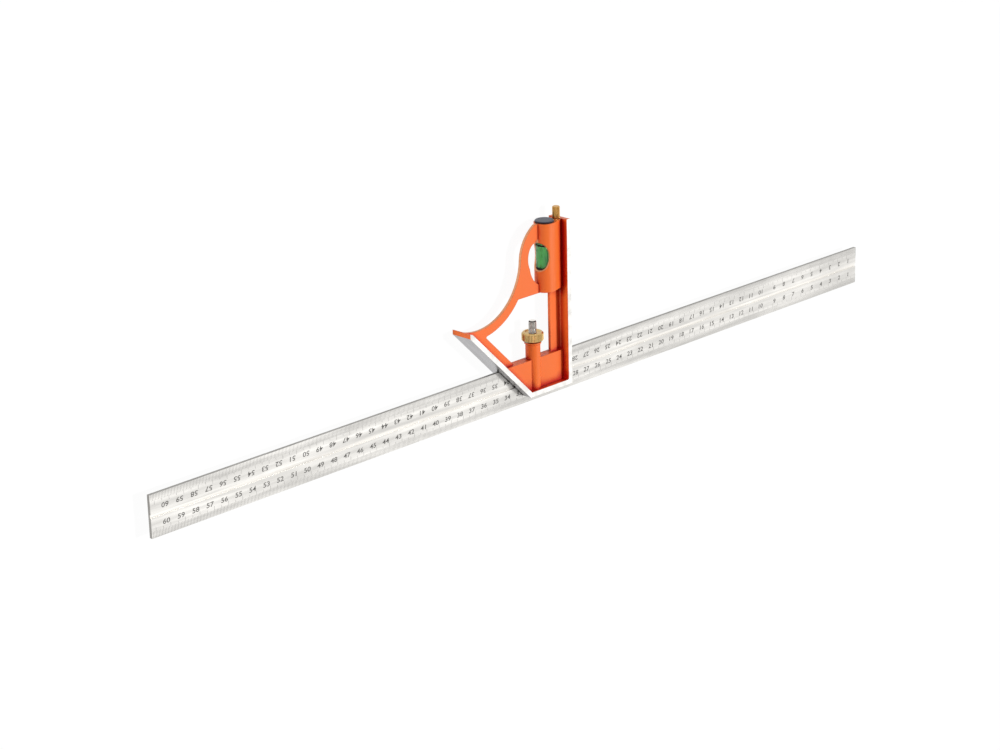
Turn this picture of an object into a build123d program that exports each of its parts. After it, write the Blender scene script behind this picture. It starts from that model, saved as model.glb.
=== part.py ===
from build123d import *
import os
from math import atan2, cos, pi, sin, sqrt

# A combination square lying on its back, in millimetres.
# x = 0 is the head's square face, y = 0 the blade's centre line, z = 0 the bench under the head.

# Blade
blade_length = 613.0
blade_width = 25.0
blade_thickness = 2.0
blade_overhang = 292.4  # from the square face out to the blade's zero end
groove_width = 2.0
groove_depth = 0.6

# Head casting outline
head_thickness = 15.0
head_top = 97.1  # height of the head above the blade's centre line
head_foot = 7.5  # how far the narrow end reaches below the centre line
foot_length = 36.6
miter_rise = 49.6  # the miter face climbs this much, and runs back as far
throat_x = -73.2
throat_y = 79.7  # centre of the hollow curve
throat_radius = 37.0
shoulder_radius = 24.6
shoulder_turn = 0.066  # radians below level at which the hollow curve meets the shoulder

# Head casting walls
flange_thickness = 3.0
web_thickness = 1.8
cheek_thickness = 1.85  # wall beside the blade
cheek_top = 14.3
casting_fillet = 0.9
edge_break = 0.2

# Openings in the web
window_right = -12.0
window_top = 54.0
window_band = 5.7  # web left along the hollow curve
miter_band = 9.9  # metal left along the miter face
corner_radius = 0.8
sight_x = -18.4
sight_y = 73.7
sight_half_width = 10.5
sight_half_height = 14.8

# Vial housing
vial_x = -14.7
vial_housing_radius = 6.55
housing_low = 54.3
port_x = -23.4
port_y = 76.4
port_half_width = 6.6
port_half_height = 9.6

# Vial
vial_radius = 5.5
vial_length = 34.0
vial_end_wall = 2.5
cavity_radius = 3.5
cavity_crown = 0.25  # the cavity is this much wider at its middle
plug_length = 3.0
bubble_radius = 2.3
bubble_depth = 0.6  # liquid left between the bubble and the plug
cap_radius = 5.9
cap_thickness = 1.3
cap_depth = 3.1  # how far the vial stands below the head's top

# Scriber
scriber_x = -4.4
scriber_housing_radius = 3.2
handle_radius = 2.3
handle_length = 8.4
handle_sunk = 0.8
handle_spigot_radius = 1.7
handle_spigot_length = 5.0
handle_flutes = 22
needle_radius = 1.0
needle_length = 34.0
needle_point = 9.0
needle_tip_radius = 0.12

# Lock bolt, nut and spring
bolt_x = -27.3
bolt_lift = 0.7  # bolt axis in front of the blade's middle plane
bolt_radius = 2.5
bolt_top = 38.1
bolt_pitch = 0.8
thread_depth = 0.32
bolt_travel = 0.4  # how far the bolt drops when the nut is loosened
hook_height = 1.4
hook_width = 3.0
boss_wall = 1.1  # metal round the spring's pocket
boss_collar = 0.6  # how far the flare stands out
boss_collar_height = 1.6
boss_top = 24.8
spring_pocket_depth = 5.8
spring_wire = 0.5
spring_turns = 4.5
nut_radius = 6.75
nut_height = 6.2
nut_flutes = 44
flute_depth = 0.32
nut_chamfer = 0.9
nut_taper = 1.35  # the cone under the nut
nut_dish_radius = 4.9
nut_dish_depth = 0.5

# Clearances
blade_side_gap = 0.35
blade_edge_gap = 0.05
seat_gap = 0.05  # where a small piece stands on the bottom of its bore
hook_gap = 0.05
hook_floor_gap = 0.1
bolt_gap = 0.15
spring_bolt_gap = 0.3
spring_pocket_gap = 0.2
thread_gap = 0.05
nut_seat_gap = 0.05
vial_gap = 0.1
liquid_gap = 0.03
cap_gap = 0.05
needle_gap = 0.25
spigot_gap = 0.06
handle_gap = 0.35
reach = 20.0  # how far a cutter runs past the metal

# Worked out from the sizes above
middle = head_thickness / 2
slot_half = blade_thickness / 2 + blade_side_gap
slot_floor = blade_width / 2 + blade_edge_gap
cheek_half = slot_half + cheek_thickness
web_half = web_thickness / 2
bolt_z = middle + bolt_lift
flat_z = middle + blade_thickness / 2 + hook_floor_gap
groove_floor_z = middle + blade_thickness / 2 - groove_depth
hook_top = groove_width / 2 - hook_gap
hook_low = hook_top - hook_height
bolt_bore_radius = bolt_radius + bolt_gap
spring_radius = bolt_radius + spring_bolt_gap + spring_wire / 2
spring_pocket_radius = spring_radius + spring_wire / 2 + spring_pocket_gap
boss_radius = spring_pocket_radius + boss_wall
boss_collar_radius = boss_radius + boss_collar
flat_top = slot_floor + bolt_travel + bolt_gap
vial_bore_radius = vial_radius + vial_gap
vial_low = head_top - cap_depth - vial_length
vial_high = vial_low + vial_length
handle_low = head_top - handle_sunk
miter_sum = -(foot_length + head_foot)  # x + y everywhere on the miter face


def plate(outline, low, high):
    """A flat outline made solid between two heights from the middle plane."""
    return extrude(Plane.XY.offset(middle + low) * outline, high - low)


def rod(x, z, low, high, radius):
    """A cylinder along y."""
    end = Plane((x, low, z), x_dir=(1, 0, 0), z_dir=(0, 1, 0))
    return extrude(end * Circle(radius), high - low)


def turned(x, z, outline):
    """A solid turned about an axis along y, from (y, radius) corners."""
    corners = [(x + radius, y, z) for y, radius in outline]
    return revolve(make_face(Polyline(*corners, close=True)), Axis((x, 0, z), (0, 1, 0)))


def fluted(x, z, low, high, radius, flutes, depth):
    """A straight-knurled bar along y."""
    corners = []
    for step in range(2 * flutes):
        turn = pi * step / flutes
        size = radius if step % 2 == 0 else radius - depth
        corners.append((x + size * cos(turn), low, z + size * sin(turn)))
    return extrude(make_face(Polyline(*corners, close=True)), high - low, dir=(0, 1, 0))


def point_on(centre, radius, turn):
    """The point of a circle at an angle in radians from +x."""
    return (centre[0] + radius * cos(turn), centre[1] + radius * sin(turn))


def head_outline():
    """The head seen from the front."""
    throat = (throat_x, throat_y)
    joint = point_on(throat, throat_radius, -shoulder_turn)
    shoulder = point_on(throat, throat_radius + shoulder_radius, -shoulder_turn)
    rise = head_top - shoulder[1]
    shoulder_end = (shoulder[0] - sqrt(shoulder_radius**2 - rise**2), head_top)
    chord = ((joint[0] + shoulder_end[0]) / 2, (joint[1] + shoulder_end[1]) / 2)
    lean = atan2(chord[1] - shoulder[1], chord[0] - shoulder[0])
    shoulder_mid = point_on(shoulder, shoulder_radius, lean)
    nose_x = -foot_length - miter_rise
    nose_low = (nose_x, -head_foot + miter_rise)
    nose_top = (nose_x, throat[1] - sqrt(throat_radius**2 - (nose_x - throat_x) ** 2))
    throat_mid = point_on(throat, throat_radius, -pi / 4)
    edges = [
        Line((0, head_top), (0, -head_foot)),
        Line((0, -head_foot), (-foot_length, -head_foot)),
        Line((-foot_length, -head_foot), nose_low),
        Line(nose_low, nose_top),
        ThreePointArc(nose_top, throat_mid, joint),
        ThreePointArc(joint, shoulder_mid, shoulder_end),
        Line(shoulder_end, (0, head_top)),
    ]
    return make_face(edges)


def inside_of_flanges(inset):
    """The field inside the three flanges, open past the curved side."""
    side = miter_sum + inset * sqrt(2)
    low = -head_foot + inset
    high = head_top + reach
    far = side - high
    field = Polygon((-inset, low), (-inset, high), (far, high), (side - low, low), align=None)
    return fillet(field.vertices().group_by(Axis.Y)[0], casting_fillet)


def pocket(side):
    """The cut that leaves the web, on the front (side 1) or the back (side -1)."""
    cutter = extrude(inside_of_flanges(flange_thickness), middle + reach)
    floor = cutter.edges().group_by(Axis.Z)[0]
    cutter = fillet(floor, casting_fillet)
    cutter = Pos(0, 0, web_half) * cutter
    if side < 0:
        cutter = mirror(cutter, about=Plane.XY)
    return Pos(0, 0, middle) * cutter


def cheeks():
    """The thicker block around the blade's slot."""
    field = inside_of_flanges(flange_thickness / 2)
    span = foot_length + head_foot + miter_rise
    below = Pos(-span / 2, cheek_top - span / 2) * Rectangle(span, span)
    return plate(field & below, -cheek_half, cheek_half)


def boss():
    """The column that carries the lock bolt, with its flared top."""
    flare = boss_top - boss_collar_height
    low = -head_foot + flange_thickness / 2
    collar = flare + boss_collar
    sides = [(low, boss_radius), (flare, boss_radius), (collar, boss_collar_radius)]
    return turned(bolt_x, bolt_z, [(low, 0)] + sides + [(boss_top, boss_collar_radius), (boss_top, 0)])


def housing():
    """The two barrels for the vial and the scriber, joined by flat skins."""
    span = scriber_x - vial_x
    lean = (vial_housing_radius - scriber_housing_radius) / span
    rise = sqrt(1 - lean**2)
    vial_side = (vial_x + vial_housing_radius * lean, vial_housing_radius * rise)
    scriber_side = (scriber_x + scriber_housing_radius * lean, scriber_housing_radius * rise)
    vial_back = (vial_side[0], -vial_side[1])
    scriber_back = (scriber_side[0], -scriber_side[1])
    edges = [
        ThreePointArc(vial_side, (vial_x - vial_housing_radius, 0), vial_back),
        Line(vial_back, scriber_back),
        ThreePointArc(scriber_back, (scriber_x + scriber_housing_radius, 0), scriber_side),
        Line(scriber_side, vial_side),
    ]
    section = make_face(edges)
    end = Plane((0, housing_low, middle), x_dir=(1, 0, 0), z_dir=(0, 1, 0))
    return extrude(end * section, head_top - housing_low)


def window():
    """The large opening between the web's bands, above the cheeks."""
    throat = (throat_x, throat_y)
    side = miter_sum + miter_band * sqrt(2)
    low_left = side - cheek_top
    high_left = side - window_top
    right = [(window_right, cheek_top), (window_right, window_top)]
    left = [(high_left, window_top), (low_left, cheek_top)]
    field = Polygon(*right, *left, align=None)
    field -= Pos(*throat) * Circle(throat_radius + window_band)
    field = fillet(field.vertices(), corner_radius)
    return plate(field, -middle - reach, middle + reach)


def head_casting():
    body = plate(head_outline(), -middle, middle)
    body -= pocket(1)
    body -= pocket(-1)
    body += cheeks()
    body -= window()
    sight = Pos(sight_x, sight_y) * Ellipse(sight_half_width, sight_half_height)
    body -= plate(sight, -middle - reach, middle + reach)
    body += housing()
    body += boss()
    port = Pos(port_x, port_y) * Ellipse(port_half_width, port_half_height)
    left_of_flange = Pos(-flange_thickness - reach, port_y) * Rectangle(2 * reach, 4 * reach)
    body -= plate(port & left_of_flange, -middle - reach, middle + reach)
    body -= rod(vial_x, middle, vial_low - seat_gap, head_top + reach, vial_bore_radius)
    needle_end = handle_low - handle_spigot_length - needle_length
    body -= rod(scriber_x, middle, needle_end - needle_gap, head_top + reach, needle_radius + needle_gap)
    spigot_end = handle_low - handle_spigot_length - needle_gap
    body -= rod(scriber_x, middle, spigot_end, head_top + reach, handle_spigot_radius + spigot_gap)
    body -= rod(scriber_x, middle, handle_low - seat_gap, head_top + reach, handle_radius + handle_gap)
    body -= blade_slot()
    bore_low = hook_low - bolt_travel - 2 * bolt_gap
    body -= rod(bolt_x, bolt_z, bore_low, boss_top + reach, bolt_bore_radius)
    body -= rod(bolt_x, bolt_z, boss_top - spring_pocket_depth, boss_top + reach, spring_pocket_radius)
    return body


def blade_slot():
    """The slot, open at the narrow end and at both faces."""
    span = 2 * (foot_length + miter_rise)
    low = -head_foot - reach
    height = slot_floor - low
    field = Pos(-span / 4, low + height / 2) * Rectangle(span, height)
    return plate(field, -slot_half, slot_half)


def blade():
    centre = blade_overhang - blade_length / 2
    body = Pos(centre, 0, middle) * Box(blade_length, blade_width, blade_thickness)
    groove = Pos(centre, 0, middle + blade_thickness / 2)
    return body - groove * Box(blade_length + reach, groove_width, 2 * groove_depth)


def lock_bolt():
    """Threaded rod, flattened beside the blade, with a lip in the blade's groove."""
    outline = [(hook_low, 0), (hook_low, bolt_radius)]
    thread_low = flat_top + bolt_pitch
    turns = int((bolt_top - thread_low) / bolt_pitch)
    for turn in range(turns):
        low = thread_low + turn * bolt_pitch
        outline.append((low, bolt_radius))
        outline.append((low + bolt_pitch / 2, bolt_radius - thread_depth))
    outline.append((thread_low + turns * bolt_pitch, bolt_radius - thread_depth))
    outline.append((bolt_top, bolt_radius - 2 * thread_depth))
    outline.append((bolt_top, 0))
    body = turned(bolt_x, bolt_z, outline)
    width = 4 * bolt_radius
    away = Box(width, flat_top - hook_low + reach, width)
    body -= Pos(bolt_x, flat_top - (flat_top - hook_low + reach) / 2, flat_z - width / 2) * away
    lip_low = groove_floor_z + hook_floor_gap
    lip_high = flat_z + bolt_radius / 2
    lip = Box(hook_width, hook_height, lip_high - lip_low)
    return body + Pos(bolt_x, (hook_low + hook_top) / 2, (lip_low + lip_high) / 2) * lip


def lock_nut():
    """Knurled nut, tapered below and dished on top."""
    low = boss_top + nut_seat_gap
    high = low + nut_height
    bore = bolt_radius + thread_gap
    outline = [
        (low, bore),
        (low, nut_radius - nut_taper),
        (low + nut_taper, nut_radius),
        (high - nut_chamfer, nut_radius),
        (high, nut_radius - nut_chamfer),
        (high, nut_dish_radius),
        (high - nut_dish_depth, nut_dish_radius - nut_dish_depth),
        (high - nut_dish_depth, bore),
    ]
    bar = fluted(bolt_x, bolt_z, low, high, nut_radius, nut_flutes, flute_depth)
    return turned(bolt_x, bolt_z, outline) & bar


def lock_spring():
    """Coil spring under the nut, in the boss's pocket."""
    low = boss_top - spring_pocket_depth + spring_wire / 2 + seat_gap
    high = boss_top + nut_seat_gap - spring_wire / 2 - seat_gap
    height = high - low
    start = (bolt_x, low, bolt_z)
    path = Helix(height / spring_turns, height, spring_radius, center=start, direction=(0, 1, 0))
    return sweep(Plane(path @ 0, z_dir=path % 0) * Circle(spring_wire / 2), path=path)


def cavity(gap):
    """The vial's barrel-shaped cavity, made smaller all round by a gap."""
    low = vial_low + vial_end_wall + gap
    high = vial_high - plug_length - gap
    end = cavity_radius - gap
    wide = end + cavity_crown
    foot = (vial_x + end, low, middle)
    belly = (vial_x + wide, (low + high) / 2, middle)
    crown = (vial_x + end, high, middle)
    side = ThreePointArc(foot, belly, crown)
    ends = Polyline(side @ 1, (vial_x, high, middle), (vial_x, low, middle), side @ 0)
    return revolve(make_face([side, ends]), Axis((vial_x, 0, middle), (0, 1, 0)))


def vial_tube():
    body = rod(vial_x, middle, vial_low, vial_high, vial_radius)
    body -= cavity(0)
    return body - rod(vial_x, middle, vial_high - plug_length, vial_high + reach, cavity_radius)


def vial_plug():
    low = vial_high - plug_length + liquid_gap
    return rod(vial_x, middle, low, vial_high, cavity_radius - liquid_gap)


def vial_liquid():
    """The liquid, with the bubble resting at the vial's upper end."""
    bubble_y = vial_high - plug_length - liquid_gap - bubble_radius - bubble_depth
    bubble = Pos(vial_x, bubble_y, middle) * Sphere(bubble_radius)
    return cavity(liquid_gap) - bubble


def vial_cap():
    """Plug that closes the vial's bore."""
    spigot = vial_bore_radius - cap_gap
    low = vial_high + cap_gap
    top = head_top + cap_thickness
    outline = [
        (low, 0),
        (low, spigot - edge_break),
        (low + edge_break, spigot),
        (head_top, spigot),
        (head_top, cap_radius),
        (top - 2 * edge_break, cap_radius),
        (top, cap_radius - 2 * edge_break),
        (top, 0),
    ]
    return turned(vial_x, middle, outline)


def scriber_handle():
    """Knurled brass head with a plain spigot that grips the casting."""
    low = handle_low
    high = low + handle_length
    outline = [
        (low, 0),
        (low, handle_radius - edge_break),
        (low + edge_break, handle_radius),
        (high - 2 * edge_break, handle_radius),
        (high, handle_radius - 2 * edge_break),
        (high, 0),
    ]
    bar = fluted(scriber_x, middle, low, high, handle_radius, handle_flutes, edge_break)
    grip = turned(scriber_x, middle, outline) & bar
    spigot = rod(scriber_x, middle, low - handle_spigot_length, low, handle_spigot_radius)
    return grip + spigot - rod(scriber_x, middle, low - reach, low, needle_radius)


def scriber_needle():
    """Hardened steel needle, pressed into the handle."""
    high = handle_low
    low = high - handle_spigot_length - needle_length
    outline = [
        (low, 0),
        (low, needle_tip_radius),
        (low + needle_point, needle_radius),
        (high, needle_radius),
        (high, 0),
    ]
    return turned(scriber_x, middle, outline)


parts = {
    "blade": blade,
    "head_casting": head_casting,
    "lock_bolt": lock_bolt,
    "lock_nut": lock_nut,
    "lock_spring": lock_spring,
    "vial_tube": vial_tube,
    "vial_plug": vial_plug,
    "vial_liquid": vial_liquid,
    "vial_cap": vial_cap,
    "scriber_handle": scriber_handle,
    "scriber_needle": scriber_needle,
}

os.makedirs("parts", exist_ok=True)
for name, make in parts.items():
    export_step(make(), f"parts/{name}.step")
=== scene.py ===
import math

import bmesh
import bpy
from mathutils import Matrix, Vector


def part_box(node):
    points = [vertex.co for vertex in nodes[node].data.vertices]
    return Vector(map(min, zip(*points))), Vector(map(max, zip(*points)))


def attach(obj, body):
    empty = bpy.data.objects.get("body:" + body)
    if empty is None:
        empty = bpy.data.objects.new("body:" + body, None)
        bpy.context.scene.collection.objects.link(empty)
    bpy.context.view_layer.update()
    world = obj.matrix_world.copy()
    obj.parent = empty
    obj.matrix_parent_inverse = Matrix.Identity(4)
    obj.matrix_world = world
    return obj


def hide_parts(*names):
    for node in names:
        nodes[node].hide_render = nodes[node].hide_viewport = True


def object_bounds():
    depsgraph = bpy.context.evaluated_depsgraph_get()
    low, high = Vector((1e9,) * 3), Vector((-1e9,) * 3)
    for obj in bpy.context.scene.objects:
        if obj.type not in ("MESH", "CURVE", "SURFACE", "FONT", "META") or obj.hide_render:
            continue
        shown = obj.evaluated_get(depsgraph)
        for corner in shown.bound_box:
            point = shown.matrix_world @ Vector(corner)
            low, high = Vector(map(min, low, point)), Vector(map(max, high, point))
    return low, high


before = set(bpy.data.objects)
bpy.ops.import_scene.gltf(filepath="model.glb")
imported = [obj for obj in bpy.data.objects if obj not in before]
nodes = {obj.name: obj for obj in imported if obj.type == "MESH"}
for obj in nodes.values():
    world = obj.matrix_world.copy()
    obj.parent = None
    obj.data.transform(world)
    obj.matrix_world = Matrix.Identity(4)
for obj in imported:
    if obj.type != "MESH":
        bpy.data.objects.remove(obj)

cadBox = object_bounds()
mm = 0.001
slack = 0.02 * mm  # two faces this near count as the same plane


def linear(colour):  # from a colour as seen on screen, 0 to 255, to the value a shader wants
    out = []
    for part in colour:
        part = part / 255
        out.append(part / 12.92 if part <= 0.04045 else ((part + 0.055) / 1.055) ** 2.4)
    return (*out, 1.0)


def middleOf(node):
    low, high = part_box(node)
    return (low + high) / 2


def addObject(name, data):
    made = bpy.data.objects.new(name, data)
    bpy.context.scene.collection.objects.link(made)
    return made


def dress(node, *materials):
    mesh = nodes[node].data
    mesh.materials.clear()
    for material in materials:
        mesh.materials.append(material)
    for face in mesh.polygons:
        face.material_index = 0
    return mesh


def newMaterial(name):
    material = bpy.data.materials.new(name)
    material.use_nodes = True
    tree = material.node_tree
    return material, tree, tree.nodes["Principled BSDF"]


def newGroup(name, inputs, outputs):
    group = bpy.data.node_groups.new(name, "ShaderNodeTree")
    for label, value in inputs.items():
        kind = "NodeSocketVector" if isinstance(value, tuple) else "NodeSocketFloat"
        socket = group.interface.new_socket(label, in_out="INPUT", socket_type=kind)
        socket.default_value = value
    for label in outputs:
        group.interface.new_socket(label, in_out="OUTPUT", socket_type="NodeSocketFloat")
    return group, group.nodes.new("NodeGroupInput"), group.nodes.new("NodeGroupOutput")


def placeGroup(tree, group, values):
    node = tree.nodes.new("ShaderNodeGroup")
    node.node_tree = group
    for name, value in values.items():
        node.inputs[name].default_value = value
    return node.outputs


def feed(tree, socket, value):  # a plain value is set, anything else is linked
    if isinstance(value, (int, float, tuple)):
        socket.default_value = value
    else:
        tree.links.new(value, socket)


def mathNode(tree, operation, first, second, clamp=False):
    node = tree.nodes.new("ShaderNodeMath")
    node.operation = operation
    node.use_clamp = clamp
    feed(tree, node.inputs[0], first)
    feed(tree, node.inputs[1], second)
    return node.outputs[0]


def vectorNode(tree, operation, first, second):
    node = tree.nodes.new("ShaderNodeVectorMath")
    node.operation = operation
    feed(tree, node.inputs[0], first)
    feed(tree, node.inputs[1], second)
    return node.outputs


def mixColour(tree, factor, first, second):  # a Mix node's colours are its sockets 6 and 7
    node = tree.nodes.new("ShaderNodeMix")
    node.data_type = "RGBA"
    feed(tree, node.inputs[0], factor)
    feed(tree, node.inputs[6], first)
    feed(tree, node.inputs[7], second)
    return node.outputs[2]


def remap(tree, value, low, high, newLow, newHigh):
    node = tree.nodes.new("ShaderNodeMapRange")
    feed(tree, node.inputs["Value"], value)
    feed(tree, node.inputs["From Min"], low)
    feed(tree, node.inputs["From Max"], high)
    feed(tree, node.inputs["To Min"], newLow)
    feed(tree, node.inputs["To Max"], newHigh)
    return node.outputs["Result"]


def addNoise(tree, place, scale, detail):
    noise = tree.nodes.new("ShaderNodeTexNoise")
    noise.inputs["Detail"].default_value = detail
    tree.links.new(place, noise.inputs["Vector"])
    feed(tree, noise.inputs["Scale"], scale)
    return noise.outputs["Fac"]


def ownPlace(tree):  # where a point lies on the piece itself
    return tree.nodes.new("ShaderNodeTexCoord").outputs["Object"]


def setRoughness(tree, shader, mask, smooth, rough):
    tree.links.new(remap(tree, mask, 0, 1, smooth, rough), shader.inputs["Roughness"])


def addBump(tree, shader, height, strength, distance):
    bump = tree.nodes.new("ShaderNodeBump")
    bump.inputs["Strength"].default_value = strength
    bump.inputs["Distance"].default_value = distance
    tree.links.new(height, bump.inputs["Height"])
    tree.links.new(bump.outputs["Normal"], shader.inputs["Normal"])


# Effects that several materials share. Four numbers are a value's range and the mask's range.
effectLook = {
    "edgeSamples": 6,
    "edgeAgreement": (0.99, 0.86, 0.0, 1.0),  # how well the rounded and the true normal agree
    "edgeGaps": (0.36, 0.58, 0.25, 1.0),
    "edgeDetail": 3.0,
    "softNoise": (0.3, 0.7, 0.0, 1.0),
    "patchDetail": 4.0,
    "speckDetail": 2.0,
    "lineNoise": (0.25, 0.75, 0.0, 1.0),
    "lineScale": 6.0,
    "lineDetail": 4.0,
    "streakDetail": 2.0,
    "shelterSamples": 8,
}


def makeEdgeWear():  # 0 on flat faces, 1 along sharp edges, broken up by noise; real wear on the metal pieces, painted shade along the head's painted and trimmed edges
    inputs = {"Width": 0.3 * mm, "Amount": 1.0, "Break Up": 900.0}
    group, entry, leave = newGroup("edgeWearAndShade", inputs, ["Mask"])
    bevel = group.nodes.new("ShaderNodeBevel")
    bevel.samples = effectLook["edgeSamples"]
    group.links.new(entry.outputs["Width"], bevel.inputs["Radius"])
    surface = group.nodes.new("ShaderNodeNewGeometry")
    dot = vectorNode(group, "DOT_PRODUCT", bevel.outputs["Normal"], surface.outputs["Normal"])
    edge = remap(group, dot["Value"], *effectLook["edgeAgreement"])
    detail = effectLook["edgeDetail"]
    noise = addNoise(group, ownPlace(group), entry.outputs["Break Up"], detail)
    broken = remap(group, noise, *effectLook["edgeGaps"])
    worn = mathNode(group, "MULTIPLY", edge, broken)
    worn = mathNode(group, "MULTIPLY", worn, entry.outputs["Amount"], clamp=True)
    group.links.new(worn, leave.inputs["Mask"])
    return group


def makeMottle():  # soft patches and fine specks, both from 0 to 1
    inputs = {"Patch Scale": 60.0, "Speck Scale": 2500.0}
    group, entry, leave = newGroup("mottle", inputs, ["Patches", "Specks"])
    place = ownPlace(group)
    for scale, label, detail in (
        ("Patch Scale", "Patches", effectLook["patchDetail"]),
        ("Speck Scale", "Specks", effectLook["speckDetail"]),
    ):
        noise = addNoise(group, place, entry.outputs[scale], detail)
        group.links.new(remap(group, noise, *effectLook["softNoise"]), leave.inputs[label])
    return group


def makeGrindLines():  # fine parallel scratches; Stretch says how close they lie along x, y and z
    inputs = {"Stretch": (30.0, 900.0, 900.0), "Coarse": 0.35}
    group, entry, leave = newGroup("grindLines", inputs, ["Lines", "Streaks"])
    scaled = vectorNode(group, "MULTIPLY", ownPlace(group), entry.outputs["Stretch"])["Vector"]
    fine = addNoise(group, scaled, effectLook["lineScale"], effectLook["lineDetail"])
    wide = addNoise(group, scaled, entry.outputs["Coarse"], effectLook["streakDetail"])
    group.links.new(remap(group, fine, *effectLook["lineNoise"]), leave.inputs["Lines"])
    group.links.new(remap(group, wide, *effectLook["softNoise"]), leave.inputs["Streaks"])
    return group


def makeFromAxis():  # 0 at the near radius from an axis along y, 1 at the far radius
    inputs = {"Axis": (0.0, 0.0, 0.0), "Near": 1 * mm, "Far": 2 * mm}
    group, entry, leave = newGroup("fromAxis", inputs, ["Mask"])
    away = vectorNode(group, "SUBTRACT", ownPlace(group), entry.outputs["Axis"])["Vector"]
    across = vectorNode(group, "MULTIPLY", away, (1.0, 0.0, 1.0))["Vector"]
    length = group.nodes.new("ShaderNodeVectorMath")
    length.operation = "LENGTH"
    group.links.new(across, length.inputs[0])
    radius = length.outputs["Value"]
    mask = remap(group, radius, entry.outputs["Near"], entry.outputs["Far"], 0.0, 1.0)
    group.links.new(mask, leave.inputs["Mask"])
    return group


def makeRecess():  # painted shade: 0 in the open, 1 deep in the piece's own inner corners
    inputs = {"Reach": 6 * mm, "Open": 0.86, "Closed": 0.6}
    group, entry, leave = newGroup("cornerShade", inputs, ["Mask"])
    shelter = group.nodes.new("ShaderNodeAmbientOcclusion")
    shelter.samples = effectLook["shelterSamples"]
    shelter.only_local = True
    group.links.new(entry.outputs["Reach"], shelter.inputs["Distance"])
    seen = shelter.outputs["AO"]
    mask = remap(group, seen, entry.outputs["Open"], entry.outputs["Closed"], 0.0, 1.0)
    group.links.new(mask, leave.inputs["Mask"])
    return group


def makeBesideSlot():  # painted shadow: 1 within Reach of the level z = Level and below y = Top, 0 further off
    inputs = {"Level": 7.5 * mm, "Reach": 2 * mm, "Top": 12 * mm, "Fade": 0.3 * mm}
    group, entry, leave = newGroup("slotShadowMask", inputs, ["Mask"])
    place = ownPlace(group)
    split = group.nodes.new("ShaderNodeSeparateXYZ")
    group.links.new(place, split.inputs[0])
    away = mathNode(group, "SUBTRACT", split.outputs["Z"], entry.outputs["Level"])
    away = mathNode(group, "ABSOLUTE", away, 0.0)
    above = mathNode(group, "SUBTRACT", split.outputs["Y"], entry.outputs["Top"])
    away = mathNode(group, "SUBTRACT", away, entry.outputs["Reach"])
    furthest = mathNode(group, "MAXIMUM", away, above)
    mask = remap(group, furthest, 0.0, entry.outputs["Fade"], 1.0, 0.0)
    group.links.new(mask, leave.inputs["Mask"])
    return group


edgeWearAndShade = makeEdgeWear()
mottle = makeMottle()
grindLines = makeGrindLines()
fromAxis = makeFromAxis()
cornerShade = makeRecess()
slotShadowMask = makeBesideSlot()
print("shared effects made")

# The head casting: orange paint, ground rims and faces, and edges trimmed after painting.
headLook = {
    "paint": (250, 117, 44),
    "paintDeep": (236, 94, 36),
    "paintPale": (252, 156, 88),
    # painted shade: the deep red that the paint takes in its own inner corners
    "paintCornerShade": (186, 12, 4),
    # painted shade: a dark brown line along the edges of the paint and of the trimmed faces
    "paintEdgeShade": (150, 50, 20),
    "deepShare": 0.22,
    "paleShare": 0.06,
    "paintSpots": {"Patch Scale": 45.0, "Speck Scale": 1800.0},
    "paintEdgeShadeMask": {"Width": 0.6 * mm, "Amount": 0.8, "Break Up": 700.0},
    "cornerShadeReach": 7 * mm,
    "paintRoughness": (0.3, 0.42),
    "paintShine": 0.32,
    "paintGrain": (0.25, 0.05 * mm),  # strength and depth
    "rim": {
        "pale": (220, 218, 214), "dark": (200, 198, 195), "roughness": 0.3,
        "stretch": (300.0, 300.0, 900.0), "edgeDark": 0.0,
    },
    "miter": {
        "pale": (186, 185, 186), "dark": (162, 161, 162), "roughness": 0.34,
        "stretch": (60.0, 60.0, 900.0), "edgeDark": 0.0,
    },
    "trimmed": {
        "pale": (232, 176, 132), "dark": (196, 122, 82), "roughness": 0.5,
        "stretch": (500.0, 500.0, 60.0), "edgeDark": 0.7,
    },
    # painted shade: the slot's inner faces are bare metal coloured nearly black
    "slot": {
        "pale": (70, 66, 64), "dark": (44, 40, 38), "roughness": 0.5,
        "stretch": (60.0, 900.0, 900.0), "edgeDark": 0.0,
    },
    "square": {
        "pale": (196, 195, 195), "dark": (170, 169, 169), "roughness": 0.34,
        "stretch": (60.0, 60.0, 900.0), "edgeDark": 0.0,
    },
    "groundCoarse": 0.5,
    "groundSpots": {"Patch Scale": 70.0, "Speck Scale": 2600.0},
    "groundLines": 0.55,
    "groundPatches": 0.25,
    "groundEdgeShadeMask": {"Width": 0.6 * mm, "Break Up": 700.0},
    "groundSpread": (-0.05, 0.08),  # either side of a finish's own roughness
    "groundGrain": (0.2, 0.02 * mm),
    "slotHalf": 1.36 * mm,
    "slotTop": 12.6 * mm,
    # painted shadow: how far the dark line beside the slot reaches, and its colour
    "slotShadow": 0.8 * mm,
    "slotShadowTint": (34, 28, 26),
    "webHalf": 0.95 * mm,
    "webUpright": 0.1,  # the most that a side of the web leans
    "facingOut": 0.2,
    "rimLevel": 0.99,
    "throatCentre": (-73.2 * mm, 79.7 * mm),
    "throatRadius": 37.0 * mm,
    "shoulderFrom": (60.0 * mm, -5 * mm),  # from the throat's centre
    "miterSum": -44.1 * mm,  # x + y on the miter face
    "port": ((-23.4 * mm, 76.4 * mm), (6.6 * mm, 9.6 * mm)),  # centre and half size
    "portFit": 0.01,  # how far off the oval a trimmed face may lie, as a share
}


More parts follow.
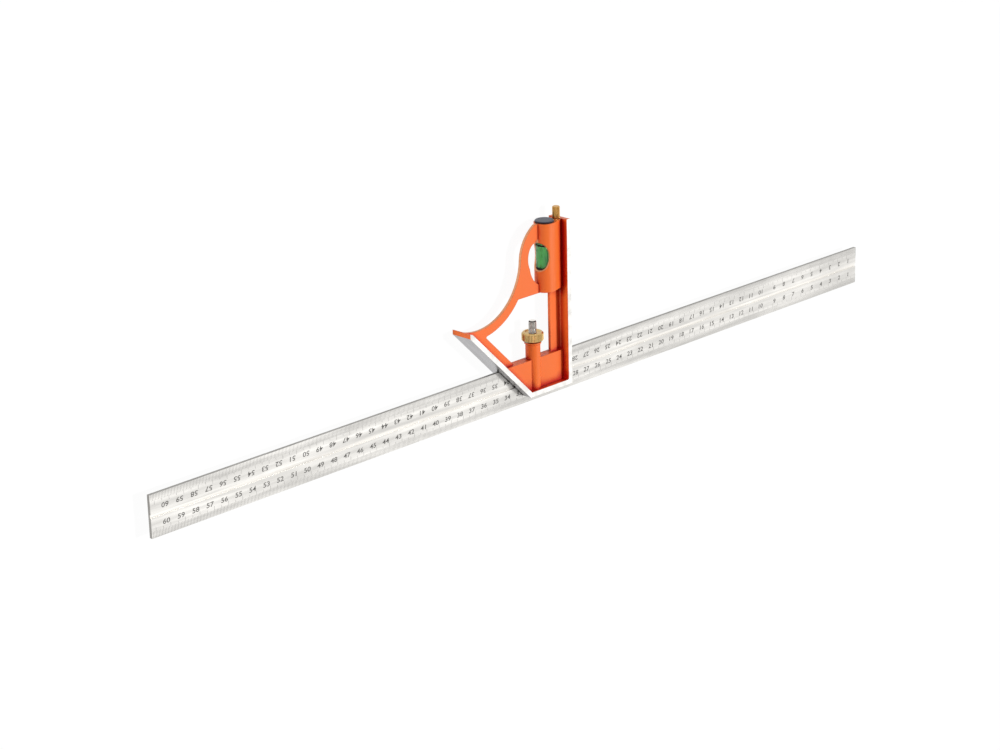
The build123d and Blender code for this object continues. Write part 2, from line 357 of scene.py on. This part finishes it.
def makePaint():
    material, tree, shader = newMaterial("headPaint")
    spots = placeGroup(tree, mottle, headLook["paintSpots"])
    wornAndShadedEdge = placeGroup(tree, edgeWearAndShade, headLook["paintEdgeShadeMask"])
    deep = mathNode(tree, "MULTIPLY", spots["Patches"], headLook["deepShare"])
    base = mixColour(tree, deep, linear(headLook["paint"]), linear(headLook["paintDeep"]))
    pale = mathNode(tree, "MULTIPLY", spots["Specks"], headLook["paleShare"])
    base = mixColour(tree, pale, base, linear(headLook["paintPale"]))
    # painted shade: the inner corners turn deep red
    inner = placeGroup(tree, cornerShade, {"Reach": headLook["cornerShadeReach"]})
    base = mixColour(tree, inner["Mask"], base, linear(headLook["paintCornerShade"]))
    # painted shade: dark lines along the paint's edges
    base = mixColour(tree, wornAndShadedEdge["Mask"], base, linear(headLook["paintEdgeShade"]))
    tree.links.new(base, shader.inputs["Base Color"])
    setRoughness(tree, shader, spots["Patches"], *headLook["paintRoughness"])
    shader.inputs["Specular IOR Level"].default_value = headLook["paintShine"]
    addBump(tree, shader, spots["Specks"], *headLook["paintGrain"])
    return material


def makeGround(name):
    look = headLook[name]
    material, tree, shader = newMaterial(name)
    scratch = {"Stretch": look["stretch"], "Coarse": headLook["groundCoarse"]}
    lines = placeGroup(tree, grindLines, scratch)
    spots = placeGroup(tree, mottle, headLook["groundSpots"])
    shade = mathNode(tree, "MULTIPLY", lines["Lines"], headLook["groundLines"])
    patches = mathNode(tree, "MULTIPLY", spots["Patches"], headLook["groundPatches"])
    shade = mathNode(tree, "ADD", shade, patches)
    base = mixColour(tree, shade, linear(look["pale"]), linear(look["dark"]))
    # painted shade: a dark line along the edges, as strong as the finish's edgeDark
    wornAndShadedEdge = placeGroup(tree, edgeWearAndShade, {**headLook["groundEdgeShadeMask"], "Amount": look["edgeDark"]})
    base = mixColour(tree, wornAndShadedEdge["Mask"], base, linear(headLook["paintEdgeShade"]))
    if name == "miter":  # painted shadow: a dark line on the miter face beside the blade, along the slot
        place = {"Level": middleOf("blade").z, "Top": headLook["slotTop"]}
        place["Reach"] = headLook["slotHalf"] + headLook["slotShadow"]
        beside = placeGroup(tree, slotShadowMask, place)
        base = mixColour(tree, beside["Mask"], base, linear(headLook["slotShadowTint"]))
    tree.links.new(base, shader.inputs["Base Color"])
    shader.inputs["Metallic"].default_value = 1.0
    smoother, rougher = headLook["groundSpread"]
    roughness = look["roughness"]
    setRoughness(tree, shader, lines["Streaks"], roughness + smoother, roughness + rougher)
    addBump(tree, shader, lines["Lines"], *headLook["groundGrain"])
    return material


def finishHead():
    grounds = [makeGround(name) for name in ("rim", "miter", "trimmed", "slot", "square")]
    mesh = dress("head_casting", makePaint(), *grounds)
    rim, miter, trimmed, slot, square = range(1, len(grounds) + 1)
    low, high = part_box("head_casting")
    middle = (low.z + high.z) / 2
    (portX, portY), (portWide, portTall) = headLook["port"]
    throatX, throatY = headLook["throatCentre"]
    shoulderX, shoulderY = headLook["shoulderFrom"]
    for face in mesh.polygons:
        normal = face.normal
        corners = [mesh.vertices[i].co for i in face.vertices]
        furthest = max(abs(c.z - middle) for c in corners)
        onFront = all(abs(c.z - low.z) < slack or abs(c.z - high.z) < slack for c in corners)
        onSquare = all(abs(c.x - high.x) < slack for c in corners)
        onFoot = all(abs(c.y - low.y) < slack for c in corners)
        onMiter = all(abs(c.x + c.y - headLook["miterSum"]) < slack for c in corners)
        inSlot = furthest < headLook["slotHalf"] and max(c.y for c in corners) < headLook["slotTop"]
        onPort = all(
            abs(((c.x - portX) / portWide) ** 2 + ((c.y - portY) / portTall) ** 2 - 1)
            < headLook["portFit"]
            for c in corners
        )
        onThroat = all(
            abs(math.hypot(c.x - throatX, c.y - throatY) - headLook["throatRadius"]) < slack
            for c in corners
        )
        onShoulder = max(c.x for c in corners) < throatX + shoulderX
        onShoulder = onShoulder and min(c.y for c in corners) > throatY + shoulderY
        onWeb = furthest < headLook["webHalf"] and abs(normal.z) < headLook["webUpright"]
        outward = normal.x < -headLook["facingOut"] or normal.y > headLook["facingOut"]
        if onFront and abs(normal.z) > headLook["rimLevel"]:
            face.material_index = rim
        elif onMiter:
            face.material_index = miter
        elif onSquare or onFoot:
            face.material_index = square
        # painted shade: the faces inside the slot take the dark slot colour
        elif inSlot:
            face.material_index = slot
        elif onPort or (onWeb and outward and (onThroat or onShoulder)):
            face.material_index = trimmed


finishHead()
print("head finished")

# The turned, rolled and ground metal pieces, and what their materials have in common.
metalLook = {
    "ruleFace": {
        "pale": (211, 209, 205), "dark": (192, 190, 186), "roughness": 0.27,
        "stretch": (40.0, 700.0, 900.0), "lines": 0.4,
    },
    "ruleEdge": {
        "pale": (172, 170, 166), "dark": (132, 130, 126), "roughness": 0.4,
        "stretch": (30.0, 900.0, 900.0), "lines": 0.6,
    },
    "ruleGroove": {
        "pale": (212, 209, 204), "dark": (198, 195, 189), "roughness": 0.3,
        "stretch": (30.0, 900.0, 900.0), "lines": 0.4,
    },
    # painted light: the groove's walls are paler than its floor, so that the shade on them doesn't
    # show
    "litGrooveWall": {
        "pale": (228, 226, 222), "dark": (216, 214, 210), "roughness": 0.3,
        "stretch": (30.0, 900.0, 900.0), "lines": 0.4,
        "lean": 0.5,  # a groove face whose normal rises less than this is a wall
    },
    "bolt": {
        "pale": (255, 252, 247), "dark": (196, 186, 176), "roughness": 0.18,
        "stretch": (900.0, 60.0, 900.0), "lines": 0.5,
        "rootShade": (44, 34, 30), "crest": (2.24 * mm, 2.44 * mm),  # radii where the painted shade in the roots fades
        "endFrom": 0.9,  # a face whose normal goes further along y is a clean end
    },
    "spring": {
        "pale": (190, 190, 190), "dark": (140, 140, 140), "roughness": 0.3,
        "stretch": (300.0, 300.0, 300.0), "lines": 0.5,
    },
    "nut": {
        "pale": (240, 210, 146), "dark": (160, 122, 66), "roughness": 0.34,
        "stretch": (500.0, 120.0, 500.0), "lines": 0.6,
        "rootShade": (82, 50, 24), "crest": (6.4 * mm, 6.6 * mm), "endFrom": 0.5,
    },
    "scriber": {
        "pale": (238, 190, 112), "dark": (168, 118, 54), "roughness": 0.24,
        "stretch": (500.0, 120.0, 500.0), "lines": 0.6,
        "rootShade": (120, 78, 34), "crest": (2.1 * mm, 2.2 * mm), "endFrom": 0.5,
    },
    "needle": {
        "pale": (205, 205, 208), "dark": (150, 150, 155), "roughness": 0.2,
        "stretch": (500.0, 30.0, 500.0), "lines": 0.5,
    },
}
metalGrain = {
    "coarse": 0.4,
    "spots": {"Patch Scale": 120.0, "Speck Scale": 3000.0},
    "patches": 0.3,
    "wornAndShadedEdge": {"Width": 0.12 * mm, "Amount": 0.5, "Break Up": 1500.0},
    "spread": (-0.05, 0.08),  # either side of a look's own roughness
    "grain": (0.2, 0.01 * mm),
}


def makeMetal(name, axis=None):  # with an axis, the look's rootShade colour shows below its crests, as painted shade in the roots
    look = metalLook[name]
    material, tree, shader = newMaterial(name + "Metal")
    scratch = {"Stretch": look["stretch"], "Coarse": metalGrain["coarse"]}
    grind = placeGroup(tree, grindLines, scratch)
    wornAndShadedEdge = placeGroup(tree, edgeWearAndShade, metalGrain["wornAndShadedEdge"])
    spots = placeGroup(tree, mottle, metalGrain["spots"])
    shade = mathNode(tree, "MULTIPLY", grind["Lines"], look["lines"])
    patches = mathNode(tree, "MULTIPLY", spots["Patches"], metalGrain["patches"])
    shade = mathNode(tree, "ADD", shade, patches, clamp=True)
    base = mixColour(tree, shade, linear(look["pale"]), linear(look["dark"]))
    base = mixColour(tree, wornAndShadedEdge["Mask"], base, linear(look["pale"]))
    # painted shade: the roots of threads and knurls, below the crests, turn dark
    if axis is not None:
        near, far = look["crest"]
        place = {"Axis": tuple(axis), "Near": near, "Far": far}
        crest = placeGroup(tree, fromAxis, place)
        base = mixColour(tree, crest["Mask"], linear(look["rootShade"]), base)
    tree.links.new(base, shader.inputs["Base Color"])
    shader.inputs["Metallic"].default_value = 1.0
    smoother, rougher = metalGrain["spread"]
    roughness = look["roughness"]
    setRoughness(tree, shader, grind["Streaks"], roughness + smoother, roughness + rougher)
    addBump(tree, shader, grind["Lines"], *metalGrain["grain"])
    return material


def finishRule():
    looks = ("ruleFace", "ruleEdge", "ruleGroove", "litGrooveWall")
    mesh = dress("blade", *[makeMetal(name) for name in looks])
    low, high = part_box("blade")
    for face in mesh.polygons:
        spot = face.center
        onEnd = min(spot.x - low.x, high.x - spot.x) < slack
        onSide = min(spot.y - low.y, high.y - spot.y) < slack
        onFace = min(spot.z - low.z, high.z - spot.z) < slack
        if onEnd or onSide:
            face.material_index = looks.index("ruleEdge")
        elif not onFace:
            # painted light: the groove's walls take the paler wall colour
            upright = abs(face.normal.z) < metalLook["litGrooveWall"]["lean"]
            face.material_index = looks.index("litGrooveWall" if upright else "ruleGroove")


def finishTurned(node, name, around):  # painted shade in the roots on the sides, a clean end
    mesh = dress(node, makeMetal(name, middleOf(around)), makeMetal(name))
    for face in mesh.polygons:
        if face.normal.y > metalLook[name]["endFrom"]:
            face.material_index = 1


finishRule()
finishTurned("lock_bolt", "bolt", "lock_nut")
finishTurned("lock_nut", "nut", "lock_nut")
finishTurned("scriber_handle", "scriber", "scriber_handle")
dress("lock_spring", makeMetal("spring"))
dress("scriber_needle", makeMetal("needle"))
print("metal pieces finished")

# The level vial: a clear tube with printed lines, green liquid, a clear plug and a dark cap.
vialLook = {
    "tube": {"tint": (240, 250, 236), "roughness": 0.02},
    "plug": {"tint": (205, 220, 196), "roughness": 0.12},
    "clearSpots": {"Patch Scale": 150.0, "Speck Scale": 2000.0},
    "clearPatches": 0.2,
    "clearDeep": 0.9,  # how much of its tint a patch keeps
    "clearSpread": 0.04,
    "clearBend": 1.45,  # index of refraction
    "liquid": ((96, 208, 96), (60, 176, 84)),
    "liquidSpots": {"Patch Scale": 90.0, "Speck Scale": 2000.0},
    "liquidRoughness": (0.08, 0.14),
    "liquidClear": 0.15,
    "liquidBend": 1.36,
    "liquidGrow": 1.012,  # so that the liquid wets the tube's wall
    "line": ((20, 22, 18), (40, 40, 34)),
    "lineSpots": {"Patch Scale": 150.0, "Speck Scale": 2500.0},
    "lineRoughness": (0.5, 0.7),
    "lines": ((65.6 * mm, 69.4 * mm), (82.8 * mm, 83.8 * mm), (84.8 * mm, 87.6 * mm)),
    "lineStandOff": 0.02 * mm,
    "lineThick": 0.03 * mm,
    "lineSides": 96,
    "cap": ((66, 73, 92), (52, 58, 75)),
    # painted shade and painted reflection: the cap's sides take a darker, browner copy of its
    # plastic
    "capShadedSide": ((50, 34, 32), (34, 22, 22)),
    "capEdge": (26, 20, 22),
    "capSpots": {"Patch Scale": 150.0, "Speck Scale": 1800.0},
    "capEdgeDarkening": {"Width": 0.5 * mm, "Amount": 0.8, "Break Up": 900.0},
    "capRoughness": (0.36, 0.5),
    "capGrain": (0.3, 0.03 * mm),
    "capShine": 0.5,
    "capTopFrom": 0.5,
    "matte": 0.12,
}


def makeClear(name, look):
    material, tree, shader = newMaterial(name)
    spots = placeGroup(tree, mottle, vialLook["clearSpots"])
    patches = mathNode(tree, "MULTIPLY", spots["Patches"], vialLook["clearPatches"])
    deep = tuple(part * vialLook["clearDeep"] for part in look["tint"])
    base = mixColour(tree, patches, linear(look["tint"]), linear(deep))
    tree.links.new(base, shader.inputs["Base Color"])
    smooth = look["roughness"]
    setRoughness(tree, shader, spots["Patches"], smooth, smooth + vialLook["clearSpread"])
    shader.inputs["Transmission Weight"].default_value = 1.0
    shader.inputs["IOR"].default_value = vialLook["clearBend"]
    return material


def makeLiquid():
    material, tree, shader = newMaterial("vialGreen")
    spots = placeGroup(tree, mottle, vialLook["liquidSpots"])
    pale, deep = vialLook["liquid"]
    base = mixColour(tree, spots["Patches"], linear(pale), linear(deep))
    tree.links.new(base, shader.inputs["Base Color"])
    setRoughness(tree, shader, spots["Patches"], *vialLook["liquidRoughness"])
    shader.inputs["Transmission Weight"].default_value = vialLook["liquidClear"]
    shader.inputs["IOR"].default_value = vialLook["liquidBend"]
    return material


def pourLiquid():  # a slightly wider copy stands for the CAD liquid
    mesh = nodes["vial_liquid"].data.copy()
    mesh.materials.clear()
    mesh.materials.append(makeLiquid())
    for face in mesh.polygons:
        face.material_index = 0
    there = Matrix.Translation(middleOf("vial_liquid"))
    wider = Matrix.Diagonal((vialLook["liquidGrow"], 1, vialLook["liquidGrow"], 1))
    mesh.transform(there @ wider @ there.inverted())
    liquid = addObject("liquid_fill", mesh)
    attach(liquid, "head")
    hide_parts("vial_liquid")


def makeLineInk():
    material, tree, shader = newMaterial("vialInk")
    spots = placeGroup(tree, mottle, vialLook["lineSpots"])
    dark, worn = vialLook["line"]
    base = mixColour(tree, spots["Specks"], linear(dark), linear(worn))
    tree.links.new(base, shader.inputs["Base Color"])
    setRoughness(tree, shader, spots["Patches"], *vialLook["lineRoughness"])
    shader.inputs["Specular IOR Level"].default_value = vialLook["matte"]
    return material


def printLines():  # thin dark rings round the tube, either side of the bubble's place
    material = makeLineInk()
    low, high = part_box("vial_tube")
    centre = (low + high) / 2
    inner = (high.x - low.x) / 2 + vialLook["lineStandOff"]
    outer = inner + vialLook["lineThick"]
    sides = vialLook["lineSides"]
    shape = bmesh.new()
    for bottom, top in vialLook["lines"]:
        rings = []
        for radius, level in ((inner, bottom), (outer, bottom), (outer, top), (inner, top)):
            ring = []
            for step in range(sides):
                turn = 2 * math.pi * step / sides
                x = centre.x + radius * math.cos(turn)
                ring.append(shape.verts.new((x, level, centre.z + radius * math.sin(turn))))
            rings.append(ring)
        for near, far in zip(rings, rings[1:] + rings[:1]):
            for i in range(sides):
                j = (i + 1) % sides
                shape.faces.new((near[i], near[j], far[j], far[i])).smooth = True
    bmesh.ops.recalc_face_normals(shape, faces=shape.faces)
    mesh = bpy.data.meshes.new("vial_lines")
    shape.to_mesh(mesh)
    shape.free()
    mesh.materials.append(material)
    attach(addObject("vial_lines", mesh), "head")


def makePlastic(name, colours, shine):
    material, tree, shader = newMaterial(name)
    spots = placeGroup(tree, mottle, vialLook["capSpots"])
    edge = placeGroup(tree, edgeWearAndShade, vialLook["capEdgeDarkening"])
    pale, deep = colours
    base = mixColour(tree, spots["Patches"], linear(pale), linear(deep))
    # the cap turns nearly black along its edges
    base = mixColour(tree, edge["Mask"], base, linear(vialLook["capEdge"]))
    tree.links.new(base, shader.inputs["Base Color"])
    setRoughness(tree, shader, spots["Specks"], *vialLook["capRoughness"])
    shader.inputs["Specular IOR Level"].default_value = shine
    addBump(tree, shader, spots["Specks"], *vialLook["capGrain"])
    return material


def finishCap():
    top = makePlastic("capTop", vialLook["cap"], vialLook["capShine"])
    # painted shade and painted reflection: a darker, browner copy of the cap plastic for the side
    # faces
    shadedSide = makePlastic("capShadedSide", vialLook["capShadedSide"], vialLook["matte"])
    mesh = dress("vial_cap", top, shadedSide)
    for face in mesh.polygons:
        if face.normal.y < vialLook["capTopFrom"]:
            face.material_index = 1


dress("vial_tube", makeClear("vialClear", vialLook["tube"]))
dress("vial_plug", makeClear("plugClear", vialLook["plug"]))
pourLiquid()
printLines()
finishCap()
print("vial finished")

# The rule's printed scale, as thin raised ink on both faces.
scaleLook = {
    "ink": ((84, 82, 80), (118, 116, 112)),
    "inkSpots": {"Patch Scale": 200.0, "Speck Scale": 4000.0},
    "inkRoughness": (0.5, 0.65),
    "inkHeight": 0.012 * mm,
    "tickWidth": 0.15 * mm,
    "tickLengths": (3.8 * mm, 5.0 * mm, 6.0 * mm),  # every mark, every fifth, every tenth
    "lastMark": 612,
    "perHalf": 5,
    "perFigure": 10,
    "lastFigure": 60,
    "edgeGap": 0.05 * mm,
    "figureHeight": 2.9 * mm,
    "figureWiden": 1.28,
    "figureBold": 0.014,
    "figureLean": 0.07,
    "figureSteps": 3,
    "lowerRow": -5.0 * mm,
    "upperRow": 4.6 * mm,
    "pairShift": -2.7 * mm,  # from a figure's long mark to its middle, with two digits
    "singleShift": 1.8 * mm,  # and with one digit
    "turnedShift": -0.3 * mm,
}


def makeInk():
    material, tree, shader = newMaterial("scaleInk")
    spots = placeGroup(tree, mottle, scaleLook["inkSpots"])
    dark, worn = scaleLook["ink"]
    base = mixColour(tree, spots["Specks"], linear(dark), linear(worn))
    tree.links.new(base, shader.inputs["Base Color"])
    setRoughness(tree, shader, spots["Patches"], *scaleLook["inkRoughness"])
    return material


def figureMesh(text):  # a number as a flat mesh, its middle at the origin
    curve = bpy.data.curves.new("figure" + text, "FONT")
    curve.body = text
    curve.offset = scaleLook["figureBold"]
    curve.shear = scaleLook["figureLean"]
    curve.resolution_u = scaleLook["figureSteps"]
    holder = addObject("figureHolder", curve)
    bpy.context.view_layer.update()
    mesh = bpy.data.meshes.new_from_object(holder)
    bpy.data.objects.remove(holder)
    bpy.data.curves.remove(curve)
    wide = [v.co.x for v in mesh.vertices]
    tall = [v.co.y for v in mesh.vertices]
    shift = Vector((-(min(wide) + max(wide)) / 2, -(min(tall) + max(tall)) / 2, 0))
    grow = scaleLook["figureHeight"] / (max(tall) - min(tall))
    size = Matrix.Diagonal((grow * scaleLook["figureWiden"], grow, 1, 1))
    mesh.transform(size @ Matrix.Translation(shift))
    return mesh


def addInk(scale, spots, faces, smooth):  # flat faces, turning anticlockwise, as thin solid ink
    rise = Vector((0, 0, scaleLook["inkHeight"]))
    below = [scale.verts.new(spot) for spot in spots]
    above = [scale.verts.new(spot + rise) for spot in spots]
    edges = {(face[i - 1], face[i]) for face in faces for i in range(len(face))}
    outline = sorted((i, j) for i, j in edges if (j, i) not in edges)
    made = [scale.faces.new([above[i] for i in face]) for face in faces]
    made += [scale.faces.new([below[i] for i in reversed(face)]) for face in faces]
    made += [scale.faces.new((below[i], below[j], above[j], above[i])) for i, j in outline]
    for face in made:
        face.smooth = smooth


def addTick(scale, x, near, far):
    left, right = x - scaleLook["tickWidth"] / 2, x + scaleLook["tickWidth"] / 2
    low, high = min(near, far), max(near, far)
    corners = [(left, low), (right, low), (right, high), (left, high)]
    addInk(scale, [Vector((*corner, 0)) for corner in corners], [(0, 1, 2, 3)], False)


def addFigure(scale, flat, place):
    spots = [place @ vertex.co for vertex in flat.vertices]
    addInk(scale, spots, [tuple(face.vertices) for face in flat.polygons], True)


def makeScale(name, ink, flipped):
    low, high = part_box("blade")
    centre = (low + high) / 2
    scale = bmesh.new()
    for step in range(scaleLook["lastMark"] + 1):
        kind = (step % scaleLook["perHalf"] == 0) + (step % scaleLook["perFigure"] == 0)
        x = high.x - step * mm - (scaleLook["tickWidth"] if step == 0 else 0)
        for edge, inward in ((low.y, 1), (high.y, -1)):
            near = edge + inward * scaleLook["edgeGap"]
            addTick(scale, x, near, edge + inward * scaleLook["tickLengths"][kind])
    for number in range(1, scaleLook["lastFigure"] + 1):
        text = str(number)
        flat = figureMesh(text)
        shift = scaleLook["pairShift" if len(text) > 1 else "singleShift"]
        x = high.x - number * scaleLook["perFigure"] * mm + shift
        addFigure(scale, flat, Matrix.Translation((x, centre.y + scaleLook["lowerRow"], 0)))
        turned = Matrix.Rotation(math.pi, 4, "Z")
        spot = (x + scaleLook["turnedShift"], centre.y + scaleLook["upperRow"], 0)
        addFigure(scale, flat, Matrix.Translation(spot) @ turned)
        bpy.data.meshes.remove(flat)
    mesh = bpy.data.meshes.new(name)
    scale.to_mesh(mesh)
    scale.free()
    mesh.transform(Matrix.Translation((0, 0, high.z)))
    if flipped:  # the same scale on the back, turned over about the blade's long axis
        there = Matrix.Translation((0, centre.y, centre.z))
        mesh.transform(there @ Matrix.Rotation(math.pi, 4, "X") @ there.inverted())
    mesh.materials.append(ink)
    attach(addObject(name, mesh), "blade")


scaleInk = makeInk()
makeScale("scale_front", scaleInk, False)
makeScale("scale_back", scaleInk, True)
print("scale printed")

# Floor, light and camera.
studio = {
    "floorSize": 60.0,
    "floorDrop": 0.05 * mm,
    "floorColour": 0.9,
    "floorGlow": 0.94,
    "floorWhite": 1.02,
    "worldLight": 0.22,
    "lamps": {
        "key": {"strength": 2.52, "from": (0.48, 0.04, 0.875), "softness": 7.0},
        "leftFill": {"strength": 1.1, "from": (-0.95, 0.25, 0.12), "softness": 20.0},
    },
}


def seenDirectly(tree):  # 1 for the camera, in mirrors and through glass
    rays = tree.nodes.new("ShaderNodeLightPath").outputs
    seen = mathNode(tree, "MAXIMUM", rays["Is Camera Ray"], rays["Is Glossy Ray"])
    return mathNode(tree, "MAXIMUM", seen, rays["Is Transmission Ray"])


def makeFloor():  # takes shadows as paper does, and shows nearly white
    half = studio["floorSize"] / 2
    corners = [(-half, -half, 0), (half, -half, 0), (half, half, 0), (-half, half, 0)]
    mesh = bpy.data.meshes.new("floor")
    mesh.from_pydata(corners, [], [(0, 1, 2, 3)])
    material = bpy.data.materials.new("paleFloor")
    material.use_nodes = True
    tree = material.node_tree
    tree.nodes.clear()
    out = tree.nodes.new("ShaderNodeOutputMaterial")
    paper = tree.nodes.new("ShaderNodeBsdfDiffuse")
    paper.inputs["Color"].default_value = (*[studio["floorColour"]] * 3, 1.0)
    glow = tree.nodes.new("ShaderNodeEmission")
    glow.inputs["Strength"].default_value = studio["floorWhite"]
    mix = tree.nodes.new("ShaderNodeMixShader")
    share = mathNode(tree, "MULTIPLY", seenDirectly(tree), studio["floorGlow"])
    tree.links.new(share, mix.inputs[0])
    tree.links.new(paper.outputs[0], mix.inputs[1])
    tree.links.new(glow.outputs[0], mix.inputs[2])
    tree.links.new(mix.outputs[0], out.inputs["Surface"])
    mesh.materials.append(material)
    floor = addObject("floor", mesh)
    floor.location.z = cadBox[0][2] - studio["floorDrop"]


def makeLight():
    world = bpy.data.worlds.new("studio")
    world.use_nodes = True
    bpy.context.scene.world = world
    tree = world.node_tree
    back = tree.nodes["Background"]
    back.inputs["Color"].default_value = (1, 1, 1, 1)
    strength = remap(tree, seenDirectly(tree), 0, 1, studio["worldLight"], 1.0)
    tree.links.new(strength, back.inputs["Strength"])
    for name, look in studio["lamps"].items():
        light = bpy.data.lights.new(name, "SUN")
        light.energy = look["strength"]
        light.angle = math.radians(look["softness"])
        lamp = addObject(name, light)
        lamp.rotation_euler = Vector(look["from"]).to_track_quat("Z", "Y").to_euler()


cameraPlace = {
    "position": (-1.0784, 0.5147, 1.0386),
    "forward": (0.66543, -0.32801, -0.67055),
    "up": (0.2477, 0.9446, -0.2155),
    "lens": 92.24,
    "sensor": 36.0,
    "nearest": 0.01,
    "furthest": 100.0,
}


def makeCamera():
    data = bpy.data.cameras.new("camera")
    data.lens = cameraPlace["lens"]
    data.sensor_width = cameraPlace["sensor"]
    data.clip_start = cameraPlace["nearest"]
    data.clip_end = cameraPlace["furthest"]
    back = -Vector(cameraPlace["forward"]).normalized()
    right = Vector(cameraPlace["up"]).cross(back).normalized()
    turn = Matrix((right, back.cross(right), back)).transposed().to_4x4()
    camera = addObject("camera", data)
    camera.matrix_world = Matrix.Translation(cameraPlace["position"]) @ turn
    bpy.context.scene.camera = camera


makeFloor()
makeLight()
makeCamera()
bpy.context.scene.view_settings.view_transform = "Standard"
print("studio made")
